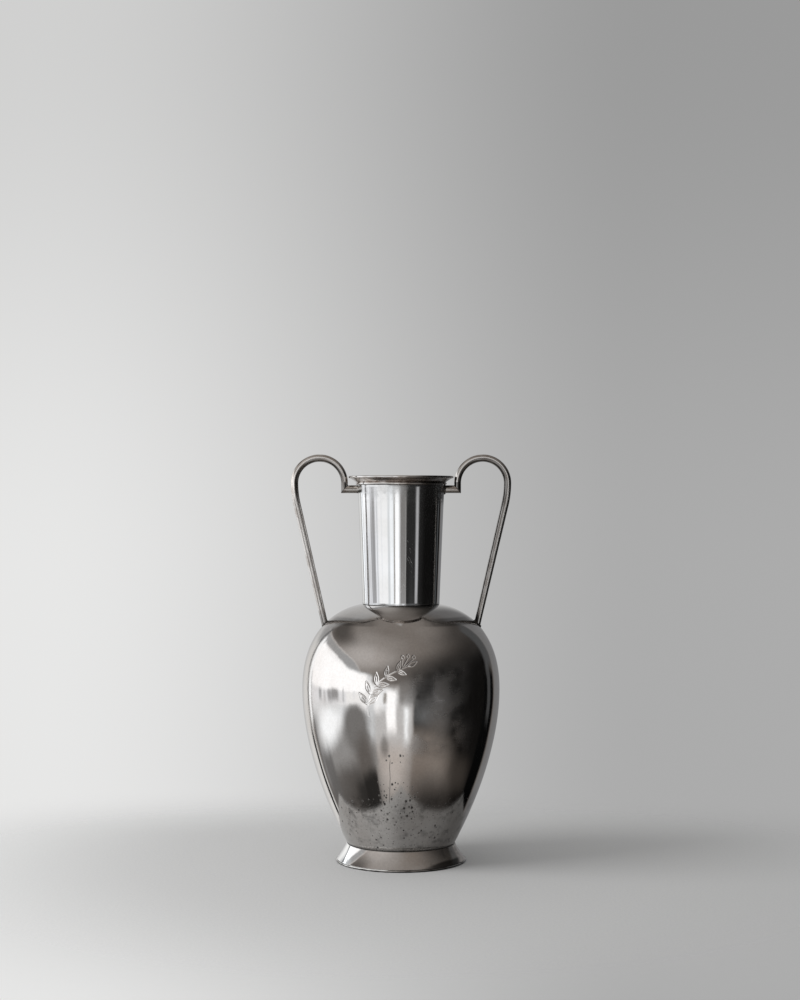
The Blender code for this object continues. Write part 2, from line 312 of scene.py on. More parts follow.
def respaced(chain, spacing):
    """The same chain with new points along it, as far apart as spacing(height) says."""
    points = np.array(chain)
    lengths = np.hypot(*np.diff(points, axis=0).T)
    run = np.concatenate(([0.0], np.cumsum(lengths)))
    places = [0.0]
    while places[-1] < run[-1]:
        height = np.interp(places[-1], run, points[:, 1])
        places.append(places[-1] + spacing(height))
    places = np.array(places) * (run[-1] / places[-1])
    return list(zip(np.interp(places, run, points[:, 0]), np.interp(places, run, points[:, 1])))


def softened(profile, closed):
    """The profile with each sharp corner turned into a small curve."""
    points = [np.array(p) for p in profile]
    result = []
    for i, point in enumerate(points):
        back = points[i - 1] - point
        ahead = points[(i + 1) % len(points)] - point
        back_length, ahead_length = np.linalg.norm(back), np.linalg.norm(ahead)
        turn = acos(max(-1.0, min(1.0, -float(back @ ahead) / (back_length * ahead_length))))
        is_end = not closed and i in (0, len(points) - 1)
        if is_end or turn < CORNER_TURN:
            result.append(tuple(point))
            continue
        reach = min(SOFT_EDGE, 0.4 * back_length, 0.4 * ahead_length)
        start = point + back * reach / back_length
        end = point + ahead * reach / ahead_length
        for step in range(EDGE_STEPS + 1):
            t = step / EDGE_STEPS
            result.append(tuple(start * (1 - t) ** 2 + point * 2 * t * (1 - t) + end * t * t))
    return result


# Meshes


def even_turns(count=PLAIN_COLUMNS):
    """Angles of the columns of a turned mesh, counted from the side that faces the camera."""
    return np.arange(count) * 2 * pi / count


def engraved_turns():
    """Angles of the body's columns: close together across the engraving, wide apart elsewhere."""
    low = SPRIG_LEFT / BELLY_RADIUS
    high = SPRIG_RIGHT / BELLY_RADIUS
    fine = ENGRAVED_STEP / BELLY_RADIUS
    turns = [low]
    while turns[-1] < low + 2 * pi:
        away = min(abs(turns[-1] - high), abs(low + 2 * pi - turns[-1]))
        inside = turns[-1] <= high
        turns.append(turns[-1] + (fine if inside else min(2 * pi / PLAIN_COLUMNS, fine + away / 6)))
    return np.array(turns[:-1])


def turned_points(profile, turns):
    """Grid of points [ring][column] of a profile turned round Z."""
    radii, heights = (np.array(column)[:, None] for column in zip(*profile))
    x = radii * np.sin(turns)
    y = -radii * np.cos(turns)
    return np.stack([x, y, np.broadcast_to(heights, x.shape)], axis=-1)


def waves(points, depth):
    """Points moved towards Z by low smooth waves, never outward."""
    x, y, z = np.moveaxis(points, -1, 0)
    turn = np.arctan2(x, -y)
    wave = sum(share * np.sin(count * turn + z / MM / up + phase) for count, up, phase, share in WAVES)
    scale = 1.0 - depth * (1.0 + wave) / np.maximum(np.hypot(x, y), 1e-6)
    return np.stack([x * scale, y * scale, z], axis=-1)


def outward(mesh):
    """Turns the faces of a closed mesh outward."""
    bm = bmesh.new()
    bm.from_mesh(mesh)
    bmesh.ops.recalc_face_normals(bm, faces=bm.faces)
    bm.to_mesh(mesh)
    bm.free()
    return mesh


def grid_mesh(name, points, closed):
    """A solid mesh from a grid of points whose columns wrap round.

    The last ring is joined to the first if closed, and otherwise both are filled from their centres.
    """
    rings, columns = points.shape[:2]
    verts = points.reshape(-1, 3)
    index = np.arange(rings * columns).reshape(rings, columns)
    rows = np.vstack([index, index[:1]]) if closed else index
    following = np.roll(rows, -1, axis=1)
    faces = np.stack([rows[:-1], following[:-1], following[1:], rows[1:]], axis=-1).reshape(-1, 4).tolist()
    if not closed:
        pole = len(verts)
        verts = np.vstack([verts, points[0].mean(axis=0), points[-1].mean(axis=0)])
        faces += [(pole, b, a) for a, b in zip(rows[0].tolist(), following[0].tolist())]
        faces += [(pole + 1, a, b) for a, b in zip(rows[-1].tolist(), following[-1].tolist())]
    mesh = bpy.data.meshes.new(name)
    mesh.from_pydata(verts.tolist(), [], faces)
    mesh.shade_smooth()
    return outward(mesh)


def place(mesh, material, slot, *nodes):
    """A piece named after its mesh, riding on the one body and standing for its CAD nodes."""
    mesh.materials.append(material)
    piece = bpy.data.objects.new(mesh.name, mesh)
    bpy.context.scene.collection.objects.link(piece)
    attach(piece, "root")
    if nodes:
        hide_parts(*nodes)


def place_turned(name, profile, wave_share, metal, node):
    """A ring-shaped piece turned from a closed profile, in place of its CAD node."""
    points = turned_points(softened(profile, closed=True), even_turns())
    mesh = grid_mesh(name, waves(points, wave_share * WAVE_DEPTH), closed=True)
    place(mesh, metal_finish(metal), node, node)


# Materials


class Field:
    """What a node gives at each point. Arithmetic on fields adds the nodes that work it out."""

    def __init__(self, graph, socket):
        self.graph = graph
        self.socket = socket

    def __add__(self, other):
        return self.graph.math("ADD", self, other)

    def __sub__(self, other):
        return self.graph.math("SUBTRACT", self, other)

    def __rsub__(self, other):
        return self.graph.math("SUBTRACT", other, self)

    def __mul__(self, other):
        return self.graph.math("MULTIPLY", self, other)

    def __truediv__(self, other):
        return self.graph.math("DIVIDE", self, other)

    def __abs__(self):
        return self.graph.math("ABSOLUTE", self)

    def step(self, low, high, start=0, end=1):
        """Smooth step: start below low, end above high."""
        inputs = {"Value": self, "From Min": low, "From Max": high, "To Min": start, "To Max": end}
        return self.graph.add("ShaderNodeMapRange", "Result", inputs, interpolation_type="SMOOTHSTEP")

    def fall(self, low, high):
        """Smooth step down: 1 below low, 0 above high."""
        return self.step(low, high, 1, 0)

    def within(self, low, high, soft):
        """1 between low and high, falling to 0 over soft on each side."""
        return self.step(low - soft, low) * self.fall(high, high + soft)


class Graph:
    """A node tree written as formulas over fields."""

    def __init__(self, tree):
        self.tree = tree

    def node(self, kind, inputs=None, **settings):
        made = self.tree.nodes.new(kind)
        for key, value in settings.items():
            setattr(made, key, value)
        for key, value in (inputs or {}).items():
            self.feed(made.inputs[key], value)
        return made

    def feed(self, socket, value):
        if isinstance(value, Field):
            self.tree.links.new(value.socket, socket)
        elif isinstance(value, tuple) and len(value) == 3 and socket.type == "RGBA":
            socket.default_value = (*value, 1.0)
        else:
            socket.default_value = value

    def add(self, kind, output, inputs=None, **settings):
        """The named or numbered output of a new node."""
        return Field(self, self.node(kind, inputs, **settings).outputs[output])

    def math(self, operation, first, second=0):
        return self.add("ShaderNodeMath", 0, {0: first, 1: second}, operation=operation)

    def largest(self, first, second):
        return self.math("MAXIMUM", first, second)

    def mix(self, share, first, second):
        return self.add("ShaderNodeMix", 2, {0: share, 6: first, 7: second}, data_type="RGBA")

    def blend(self, share, first, second):
        """A number between two others."""
        return self.add("ShaderNodeMix", 0, {0: share, 2: first, 3: second}, data_type="FLOAT")

    def axes(self, vector):
        return [Field(self, output) for output in self.node("ShaderNodeSeparateXYZ", {0: vector}).outputs]

    def length(self, x, y):
        offset = self.add("ShaderNodeCombineXYZ", 0, {0: x, 1: y})
        return self.add("ShaderNodeVectorMath", "Value", {0: offset}, operation="LENGTH")

    def scaled(self, vector, scale):
        return self.add("ShaderNodeMapping", 0, {"Vector": vector, "Scale": scale})

    def noise(self, vector, scale, detail=3, roughness=0.5):
        inputs = {"Vector": vector, "Scale": scale, "Detail": detail, "Roughness": roughness}
        return self.add("ShaderNodeTexNoise", 0, inputs)

    def shaded(self, colour, shade):
        """The colour times the shade."""
        grey = self.add("ShaderNodeCombineColor", 0, {0: shade, 1: shade, 2: shade})
        inputs = {0: 1, 6: colour, 7: grey}
        return self.add("ShaderNodeMix", 2, inputs, data_type="RGBA", blend_type="MULTIPLY")


class Metal(Graph):
    """A worn metal in the making, with painted light and shade, over the object's places in mm: its colour,
    roughness and relief.
    """

    def __init__(self, name):
        self.material = bpy.data.materials.new(name)
        self.material.use_nodes = True
        super().__init__(self.material.node_tree)
        self.place = self.scaled(self.add("ShaderNodeTexCoord", "Object"), (1 / MM,) * 3)
        self.x, self.y, self.z = self.axes(self.place)
        self.metallic = 1

    def spots(self, cell, share, radius, crowd, squash=0.7):
        """A mask of ragged spots, at most one in each cell: a share of them, more where crowd is high."""
        wander = {"Vector": self.place, "Scale": 1.3, "Detail": 2}
        wander = self.scaled(self.add("ShaderNodeTexNoise", "Color", wander), (1.7, 1.7, 1.7))
        bend = self.add("ShaderNodeVectorMath", 0, {0: self.place, 1: wander}, operation="ADD")
        inputs = {"Vector": self.scaled(bend, (1, 1, squash)), "Scale": 1 / cell, "Randomness": 1}
        cells = self.node("ShaderNodeTexVoronoi", inputs).outputs
        draws = self.node("ShaderNodeSeparateColor", {"Color": Field(self, cells["Color"])}).outputs
        chance, size, depth = (Field(self, draw) for draw in draws)
        present = self.math("LESS_THAN", chance, crowd * share) * depth.step(0, 0.6, 0.8, 1)
        reach = (size * size + 0.4) * (radius / cell / 1.4)
        return (Field(self, cells["Distance"]) / reach).fall(0.45, 1) * present

    def dim(self, mask, shade, haze=0):
        """Where the mask is 1 the metal is darker by shade and rougher by haze."""
        self.colour = self.shaded(self.colour, mask.step(0, 1, 1, shade))
        self.rough += mask * haze

    def corrode(self, mask, colour=OXIDE, depth=0.05):
        """Where the mask is 1 the metal has turned to dull dark oxide and lies a little deeper."""
        self.colour = self.mix(mask, self.colour, colour)
        self.rough += mask * 0.4
        self.metallic = mask.step(0, 1, 1, 0.35) * self.metallic
        self.relief -= mask * depth

    def rub_and_highlight(self, mask, colour, matt=0):
        """Where the mask is 1 the metal shows another colour, for bare metal, tarnish and painted
        highlights, and is less of a mirror by matt.
        """
        self.colour = self.mix(mask, self.colour, colour)
        if matt:
            self.metallic = 1 - mask * matt

    def finished(self):
        shader = self.tree.nodes["Principled BSDF"].inputs
        height = {"Height": self.relief, "Distance": 0.35 * MM, "Strength": 1}
        self.feed(shader["Base Color"], self.colour)
        self.feed(shader["Roughness"], self.rough)
        self.feed(shader["Metallic"], self.metallic)
        self.feed(shader["Normal"], self.add("ShaderNodeBump", 0, height))
        return self.material


def body_pits(metal, front):
    """Corrosion pits: large ones in a patch low at the front, small ones in a band round it."""
    x, z = metal.x, metal.z
    deep = z.within(50, 84, soft=12) * x.within(-16, 8, soft=10)
    scattered = z.within(110, 120, soft=5) * x.within(-14, 0, soft=6)
    deep = (deep + scattered * 0.5) * front
    low = z.within(14, 54, soft=28) * x.within(-42, 48, soft=26) * front + 0.0015
    large = metal.spots(2.7, 0.62, 1.85, deep, 0.75)
    small = metal.spots(3.3, 0.46, 1.45, low)
    fine = metal.spots(1.7, 0.52, 0.70, low)
    metal.corrode(metal.largest(large, metal.largest(small, fine)))


def seat_shade(metal):
    """Painted shade on the shoulder round each handle's foot, where the dark handle is mirrored, more of it
    on the right.
    """
    seat_x, seat_z = seat_point()
    wobble = metal.noise(metal.place, 0.25).step(0.3, 0.7, -2, 2)
    for side, reach, shade in ((-1, 9, 0.62), (1, 15, 0.30)):
        ends = {0: metal.place, 1: (side * seat_x / MM, 0, seat_z / MM)}
        away = metal.add("ShaderNodeVectorMath", "Value", ends, operation="DISTANCE")
        metal.dim((away + wobble).fall(0.35 * reach, reach), shade, haze=0.12)


def body_wear_and_shade(metal):
    """Cloudy tarnish at the right, pits and smudges low at the front, a hairline and the engraving, with
    painted shade along the foot seam, round the handles' feet, across the shoulder and low at the right.
    """
    x, y, z = metal.x, metal.y, metal.z
    front = y.fall(-30, 0)
    clouds = metal.noise(metal.place, 0.05, detail=2.5).step(0.32, 0.70)
    metal.dim(clouds * x.within(14, 52, soft=20) * z.within(126, 190, soft=22) * front, 0.82, haze=0.26)
    metal.dim(x.within(28, 46, soft=12) * z.within(160, 182, soft=12) * front, 1, haze=0.11)
    smoke = metal.noise(metal.place, 0.09, detail=5, roughness=0.68).step(0.42, 0.72)
    low_right = x.within(10, 60, soft=32) * z.within(20, 62, soft=26)
    low_left = x.within(-48, -24, soft=12) * z.within(30, 66, soft=14)
    # Painted shade: the lower right front is darker, where the metal mirrors the floor's shadow.
    metal.dim(low_right * front, 0.70)
    metal.dim(smoke * low_right, 0.60, haze=0.08)
    metal.dim(smoke * low_left, 0.52, haze=0.08)
    # Painted shade along the seam just above the foot.
    seam = z.fall(18.6, 20.4)
    metal.dim(seam, 0.45, haze=0.15)
    seat_shade(metal)
    # Painted shade: an uneven dark band across the front of the shoulder, where the handles and the dark
    # side are mirrored.
    shoulder_shade = z.within(236, 240, soft=3) * abs(x).step(14, 34) * x.step(-30, 30, 0.75, 1) * front
    uneven = metal.noise(metal.place, 0.07, detail=2).step(0.25, 0.55, 0.45, 1)
    metal.dim(shoulder_shade * uneven, 0.50, haze=0.04)
    # Painted shade over the right of the shoulder, at the front.
    metal.dim(x.step(0, 36) * z.step(226, 242) * front, 0.78, haze=0.03)
    body_pits(metal, front)
    sway = (metal.noise(metal.place, 0.06, detail=2) - 0.5) * 3
    hairline = abs(x - HAIRLINE_X - sway).step(0.10, 0.45, 0.75, 0) * z.within(*HAIRLINE_Z, soft=4)
    metal.corrode(hairline * front, SCRATCH, depth=0.1)
    cut = metal.add("ShaderNodeAttribute", "Fac", attribute_name=GROOVE_MASK)
    metal.rub_and_highlight(cut, CUT_METAL)
    metal.rough += cut * 0.16


def neck_wear_and_shade(metal):
    """Fine slanting scratches on the front, painted shade under the lip and dark flux round the right lug.
    """
    x, z = metal.x, metal.z
    slant = {"Vector": metal.place, "Rotation": (0, radians(24), 0)}
    slanted = metal.scaled(metal.add("ShaderNodeMapping", 0, slant), (2.6, 0.4, 0.10))
    scratches = metal.noise(slanted, 1, detail=1, roughness=0.4).step(0.70, 0.74)
    metal.rough += scratches * z.within(275, 315, soft=14) * x.within(-2, 10, soft=6) * 0.30
    # Painted shade under the lip, strongest on the left, with a wavering lower edge and rougher metal.
    uneven = metal.noise(metal.place, 0.16, detail=2).step(0.3, 0.7, -4, 4)
    metal.dim((z + uneven).step(348, 374) * x.step(0, 20, 1, 0.3), 0.74, haze=0.16)
    blot = metal.noise(metal.place, 0.30).step(0.30, 0.50)
    metal.dim(blot * x.step(30, 37) * z.step(346, 358), 0.25, haze=0.25)
    foot = z.fall(253.4, 255.2)
    metal.dim(foot, 0.80, haze=0.10)


def lip_wear_and_shade(metal):
    """Brown tarnish left in the cove and in the throat, and painted shade in patches over the right side."""
    cove = metal.z.within((LIP_FOOT_Z + BEAD_HEIGHT) / MM, (LIP_TOP_Z - LIP_EDGE) / MM, soft=0.5)
    cove = cove * metal.noise(metal.place, 0.16).step(0.30, 0.62, 0.35, 1)
    metal.rub_and_highlight(cove, COVE_BROWN)
    metal.rough += cove * 0.10
    # Painted shade: the right side of the lip is darker in patches, most at the front.
    shade_patches = metal.noise(metal.place, 0.35).step(0.30, 0.62, 0.62, 1)
    right = metal.x.step(8, 28) * metal.y.step(-10, 10, 1, 0.3)
    metal.dim(right * shade_patches, 0.26, haze=0.08)


def foot_wear_light_and_shade(metal):
    """Painted shade along the seam under the body, smoke and a painted dark wedge at the right, and a
    painted highlight at the left end.
    """
    x, y, z = metal.x, metal.y, metal.z
    # Painted shade along the seam under the body.
    metal.dim(z.step(16.6, 18.2), 0.50, haze=0.15)
    smoke = metal.noise(metal.place, 0.12, detail=5, roughness=0.7).step(0.46, 0.70)
    right = x.step(8, 40) * y.fall(-10, 20)
    metal.dim(smoke * right, 0.64, haze=0.10)
    # Painted shade: a dark wedge low at the right, growing taller towards the right end.
    rising = z + x.step(16, 44, 4, 0)
    metal.dim(rising.fall(5.5, 8.5) * right * x.fall(53, 60), 0.22)
    # Painted highlight: a paler, brighter mirror at the left end.
    metal.rub_and_highlight(x.fall(-53, -46) * y.fall(0, 20), FOOT_HIGHLIGHT)
    metal.corrode(metal.spots(3, 0.10, 0.5, 0.5))


def rim_light_and_shade(metal):
    """A painted shadow line where the wire stands on the ground, painted shade over the right half and a
    painted highlight on the top at the left.
    """
    x, z = metal.x, metal.z
    # Painted shadow where the wire stands on the ground.
    metal.dim(z.fall(0.9, 1.5), 0.10, haze=0.2)
    # Painted shade over the right half.
    metal.dim(x.step(0, 40), 0.55, haze=0.05)
    # Painted highlight: a pale, less mirror-like top at the left.
    metal.rub_and_highlight(z.step(1.4, 1.7) * x.within(-46, -16, soft=6), WIRE_HIGHLIGHT, matt=0.7)


def outward_offset(metal):
    """How far a point of a handle lies outward from the bar's centre line, in mm."""
    lean = leg_lean()
    bend = OUTER_BEND_RADIUS / MM
    bend_end = -bend * sin(lean)
    up = metal.z - LOOP_Z / MM
    beyond_loop = abs(metal.x) - LOOP_X / MM
    beyond_bend = abs(metal.x) - BEND_X / MM
    on_loop = metal.length(beyond_loop, up) - LOOP_RADIUS / MM
    on_bend = metal.length(beyond_bend, up) - bend
    on_leg = beyond_bend * cos(lean) - up * sin(lean) - bend
    below = metal.blend(up.step(bend_end - 2, bend_end + 2), on_leg, on_bend)
    return metal.blend(up.step(-1, 1), below, on_loop)


def bar_wear_light_and_shade(metal):
    """Lengthwise drawing marks, painted shade on the inner sides, the left leg and the right handle, dark
    feet, and painted highlights along the crests.
    """
    x, y, z = metal.x, metal.y, metal.z
    up = z - LOOP_Z / MM
    out = outward_offset(metal)
    drawn = metal.noise(metal.scaled(metal.place, (0.9, 1.6, 0.06)), 1, detail=2)
    metal.relief = drawn * 0.005
    metal.rough += drawn.step(0.35, 0.70, -0.01, 0.03)
    metal.rough += x.step(-60, 60, 0.15, -0.03) * z.step(345, 368, 1, 0.25)
    metal.rough *= z.step(355, 375, 1, 0.62)
    left_leg = x.fall(-1, 1) * up.fall(-24, 0)
    right_leg = x.step(-1, 1) * up.fall(-24, 0)
    # Painted shade on the inner side of the loops, fading down the legs.
    metal.dim(out.fall(-0.7, 0.1) * up.step(-30, -6), 0.30)
    # Painted shade along the left leg's outer side.
    metal.dim(out.within(0.8, 1.4, soft=0.6) * left_leg, 0.50)
    # Painted shade on the right leg's inner side.
    metal.dim(out.fall(-0.9, 0.1) * right_leg, 0.40)
    # Painted shade: the right handle is darker.
    metal.dim(x.step(0, 60), 0.80)
    metal.dim(z.fall(236, 252), 0.55, haze=0.10)
    metal.dim((z + x).fall(312, 322) * x.step(0, 1), 0.30, haze=0.15)
    # Painted highlights: a pale line along the crests, and a paler face on the left leg, towards the front.
    crest_highlight = out.within(0.45, 0.95, soft=0.40) * (1 - left_leg)
    face_highlight = out.within(-1.4, 0.2, soft=0.7) * left_leg * 0.45
    metal.rub_and_highlight(metal.largest(crest_highlight, face_highlight) * y.fall(-14, 16), BAR_HIGHLIGHT, matt=0.8)
    metal.corrode(metal.spots(4, 0.10, 0.6, 1))


def lug_shade(metal):
    """Painted shade along the lower half and the top edge."""
    up = metal.z - LUG_Z / MM
    metal.dim(up.fall(-1.6, 0.6), 0.42, haze=0.05)
    metal.dim(up.step(2.4, 3.6), 0.45, haze=0.05)


# Clean and tarnished colours and roughness, size of the tarnished patches in mm and how much more they
# cover, relief and grain of the surface, and what only this metal has
METALS = {
    "body": ((0.60, 0.58, 0.56), (0.54, 0.51, 0.485), (0.05, 0.11), 60, 0, 0.012, 1, body_wear_and_shade),
    "neck": ((0.64, 0.64, 0.64), (0.59, 0.585, 0.575), (0.04, 0.09), 70, 0, 0.004, 0.3, neck_wear_and_shade),
    "lip": ((0.74, 0.73, 0.72), (0.58, 0.54, 0.50), (0.07, 0.15), 16, -0.02, 0.008, 0.4, lip_wear_and_shade),
    "foot": ((0.64, 0.62, 0.60), (0.57, 0.53, 0.495), (0.05, 0.11), 40, 0, 0.012, 1, foot_wear_light_and_shade),
    # The wire's near-black tarnished patches also stand in as painted shade between its glints.
    "rim": ((0.74, 0.73, 0.71), (0.13, 0.12, 0.11), (0.08, 0.24), 8, 0, 0.02, 1, rim_light_and_shade),
    "handle": ((0.64, 0.61, 0.58), (0.48, 0.44, 0.405), (0.13, 0.22), 14, 0, 0.02, 0.3, bar_wear_light_and_shade),
    "lug": ((0.62, 0.59, 0.55), (0.46, 0.41, 0.37), (0.16, 0.28), 8, 0, 0.008, 0.4, lug_shade),
    "solder": ((0.13, 0.12, 0.11), (0.05, 0.045, 0.04), (0.34, 0.55), 3, 0.05, 0.08, 1, None),
}


def metal_finish(kind):
    """The material of one of the metals, with faint turning marks all over."""
    clean, tarnish, (polish, dull), patch, cover_more, relief, grain, wear_light_and_shade = METALS[kind]
    metal = Metal(f"{kind}_metal")
    patches = metal.noise(metal.place, 1 / patch, detail=4, roughness=0.62)
    cover = patches.step(0.40 - cover_more, 0.66 - cover_more)
    mottle = metal.noise(metal.place, 0.45, roughness=0.6)
    speckle = metal.noise(metal.place, 2.2, detail=2, roughness=0.6)
    turning = metal.noise(metal.scaled(metal.place, (0.05, 0.05, 2.6)), 1, roughness=0.7)
    marks = metal.noise(metal.scaled(metal.place, (1.1, 1.1, 0.25)), 1, detail=2, roughness=0.6)
    dapple = mottle.step(0.30, 0.70, 1 - 0.045 * grain, 1 + 0.02 * grain)
    fleck = speckle.step(0.30, 0.70, 1 - 0.025 * grain, 1 + 0.01 * grain)
    metal.colour = metal.shaded(metal.mix(cover, clean, tarnish), dapple * fleck)
    metal.rough = cover * (dull - polish) + polish
    metal.rough += turning.step(0.35, 0.75, -0.015 * grain, 0.03 * grain)
    metal.rough += marks.step(0.55, 0.75, 0, 0.02)
    metal.relief = (turning + mottle) * relief
    if wear_light_and_shade:
        wear_light_and_shade(metal)
    return metal.finished()


# Engraving


def almond(base, heading, length, width):
    """Outline of a pointed leaf that leaves its base along heading, as one closed line."""
    shares = [i / ROUND_STEPS for i in range(ROUND_STEPS + 1)]
    outline = []
    for t, side in [(t, 1) for t in shares] + [(t, -1) for t in shares[-2::-1]]:
        across = side * width / 2 * sin(pi * t) ** 1.15
        x = base[0] + length * t * cos(heading) - across * sin(heading)
        outline.append((x, base[1] + length * t * sin(heading) + across * cos(heading)))
    return outline


def sprig_lines():
    """Lines of a plain leafy sprig, along the surface and up: stem, leaves with midribs, and berries."""
    lines = [bezier(STEM, 40)]
    for i in range(LEAF_PAIRS):
        t = 0.16 + 0.70 * i / (LEAF_PAIRS - 1)
        base = bezier_at(STEM, t)
        ahead = bezier_at(STEM, t + 0.01)
        heading = atan2(ahead[1] - base[1], ahead[0] - base[0])
        length = LEAF_LENGTH * (1.0 - 0.42 * t)
        for angle in (heading + LEAF_SPREAD, heading - LEAF_SPREAD):
            lines.append(almond(base, angle, length, length * LEAF_SLENDER))
            tip = (base[0] + 0.62 * length * cos(angle), base[1] + 0.62 * length * sin(angle))
            lines.append([base, tip])
    end_leaf = 0.7 * LEAF_LENGTH
    lines.append(almond(bezier_at(STEM, 1.0), radians(24.0), end_leaf, end_leaf * LEAF_SLENDER))
    for x, z in BERRIES:
        lines.append(arc((x, z), BERRY_RADIUS, 0.0, 2 * pi, 16))
        lines.append([bezier_at(STEM, 0.93), (x, z - BERRY_RADIUS)])
    return [[(x * MM, z * MM) for x, z in points] for points in lines]


def engraved(points, turns):
    """Points pushed in along the sprig's lines, and how deep each lies, from 0 to 1."""
    radius = np.hypot(points[..., 0], points[..., 1])
    up = points[..., 2]
    along = np.broadcast_to(np.where(turns > pi, turns - 2 * pi, turns) * BELLY_RADIUS, up.shape)
    inside = (along > SPRIG_LEFT) & (along < SPRIG_RIGHT) & (up > SPRIG_LOW) & (up < SPRIG_HIGH)
    inside &= radius > BELLY_RADIUS - 30 * MM
    x, z = along[inside], up[inside]
    nearest = np.full(x.shape, 1.0)
    for chain in sprig_lines():
        for (x0, z0), (x1, z1) in zip(chain, chain[1:]):
            run = (x1 - x0) ** 2 + (z1 - z0) ** 2
            t = np.clip(((x - x0) * (x1 - x0) + (z - z0) * (z1 - z0)) / run, 0.0, 1.0)
            nearest = np.minimum(nearest, np.hypot(x - x0 - t * (x1 - x0), z - z0 - t * (z1 - z0)))
    share = np.clip(1.0 - nearest / (GROOVE_WIDTH / 2), 0.0, 1.0)
    depth = np.zeros(up.shape)
    depth[inside] = share * (2.0 - share)
    scale = 1.0 - depth * GROOVE_DEPTH / np.maximum(radius, MM)
    return np.stack([points[..., 0] * scale, points[..., 1] * scale, up], axis=-1), depth


# Turned pieces


def body_rings():
    """The body's outline from the axis under the floor, up the outside and down the inside to the axis."""

    def spacing(height):
        away = max(SPRIG_LOW - height, height - SPRIG_HIGH, 0.0)
        return min(PLAIN_STEP, ENGRAVED_STEP + away / 8)

    side = respaced(bezier(SHOULDER_CURVE, 600) + bezier(BELLY_CURVE, 600)[1:], spacing)
    corner = arc(CORNER_CENTRE, BOTTOM_CORNER, -FOOT_FLARE, -pi / 2, 16)[1:]
    reach = CORNER_CENTRE[0]
    level = CORNER_CENTRE[1] - BOTTOM_CORNER
    radii = [reach * (1 - i / 24) for i in range(1, 24)]
    floor = [(radius, level + FLOOR_RISE * (1 + cos(pi * radius / reach)) / 2) for radius in radii]
    collar_z = NECK_FOOT_Z + COLLAR_HEIGHT
    root = NECK_BASE_RADIUS - WALL - FIT
    tip = neck_radius(collar_z) - WALL - FIT
    collar = line((tip, collar_z), (root, shoulder_slope_z(root)), 3)
    outside = collar + side + corner + floor
    inner_collar = line((tip - WALL, collar_z), (root - WALL, shoulder_slope_z(root) - WALL), 3)
    inner_side = bezier(SHOULDER_CURVE, 24, -WALL) + bezier(BELLY_CURVE, 40, -WALL)[1:]
    inner_corner = arc(CORNER_CENTRE, BOTTOM_CORNER - WALL, -FOOT_FLARE, -pi / 2, 8)[1:]
    inner_floor = [(radius, z + WALL) for radius, z in floor[1::2]]
    return softened(outside[::-1] + inner_collar + inner_side + inner_corner + inner_floor, closed=False)


def make_body():
    turns = engraved_turns()
    points = waves(turned_points(body_rings(), turns), WAVE_DEPTH)
    points, depth = engraved(points, turns)
    mesh = grid_mesh("body_skin", points, closed=False)
    mask = mesh.attributes.new(GROOVE_MASK, "FLOAT", "POINT")
    mask.data.foreach_set("value", np.concatenate([depth.ravel(), [0.0, 0.0]]))
    place(mesh, metal_finish("body"), "body", "body")


def make_neck():
    bore_foot = NECK_BASE_RADIUS - WALL
    outside = line((NECK_TOP_RADIUS, NECK_TOP_Z), (NECK_BASE_RADIUS, NECK_FOOT_Z), 48)
    inside = line((bore_foot, shoulder_slope_z(bore_foot) + FIT), (NECK_TOP_RADIUS - WALL, NECK_TOP_Z), 24)
    place_turned("neck_skin", outside + inside, 0.4, "neck", "neck")


def make_lip():
    nose = LIP_EDGE / 2
    edge = arc((LIP_RADIUS - nose, LIP_TOP_Z - nose), nose, pi / 2, -pi / 2, ROUND_STEPS)
    bead = BEAD_HEIGHT / 2
    bead_x = NECK_TOP_RADIUS + BEAD_PROUD - bead
    beading = arc((bead_x, LIP_FOOT_Z + bead), bead, pi / 2, -pi / 2, ROUND_STEPS)
    cove = bezier(bowed(edge[-1], beading[0], COVE_HOLLOW), 10)
    spigot_z = NECK_TOP_Z - SPIGOT_DEPTH
    spigot = NECK_TOP_RADIUS - WALL - FIT
    spigot_tip = neck_radius(spigot_z) - WALL - FIT
    tail = [(spigot, LIP_FOOT_Z), (spigot_tip, spigot_z), (spigot_tip - SPIGOT_WALL, spigot_z)]
    throat = (spigot - SPIGOT_WALL, NECK_TOP_Z)
    mouth = (LIP_RADIUS - LIP_ROLL_WIDTH, LIP_TOP_Z)
    flare = (throat, (throat[0], LIP_TOP_Z - nose), (throat[0] + LIP_EDGE, LIP_TOP_Z - nose), mouth)
    profile = edge + cove[1:] + beading[1:] + tail + bezier(flare, ROUND_STEPS)
    place_turned("lip_moulding", profile, 0.3, "lip", "lip")


def make_foot():
    flange_end = -FOOT_FLARE - SEAT_TURN
    seat = arc(CORNER_CENTRE, BOTTOM_CORNER + FIT, flange_end, -FOOT_FLARE, 8)
    edge = (RIM_RADIUS - RIM_OVERHANG, RIM_HEIGHT + FIT)
    skirt = bowed(seat[-1], edge, SKIRT_HOLLOW)
    under = BOTTOM_CORNER + FIT + WALL
    inside = []
    for x, z in bezier(skirt, 24, -WALL):
        if hypot(x - CORNER_CENTRE[0], z - CORNER_CENTRE[1]) > under + WALL / 2:
            inside.append((x, max(z, edge[1])))
    root = atan2(inside[0][1] - CORNER_CENTRE[1], inside[0][0] - CORNER_CENTRE[0])
    flange = arc(CORNER_CENTRE, under, root, flange_end, 6)
    profile = seat[:-1] + bezier(skirt, 32) + inside[::-1] + flange
    place_turned("foot_skirt", profile, 0.4, "foot", "foot")


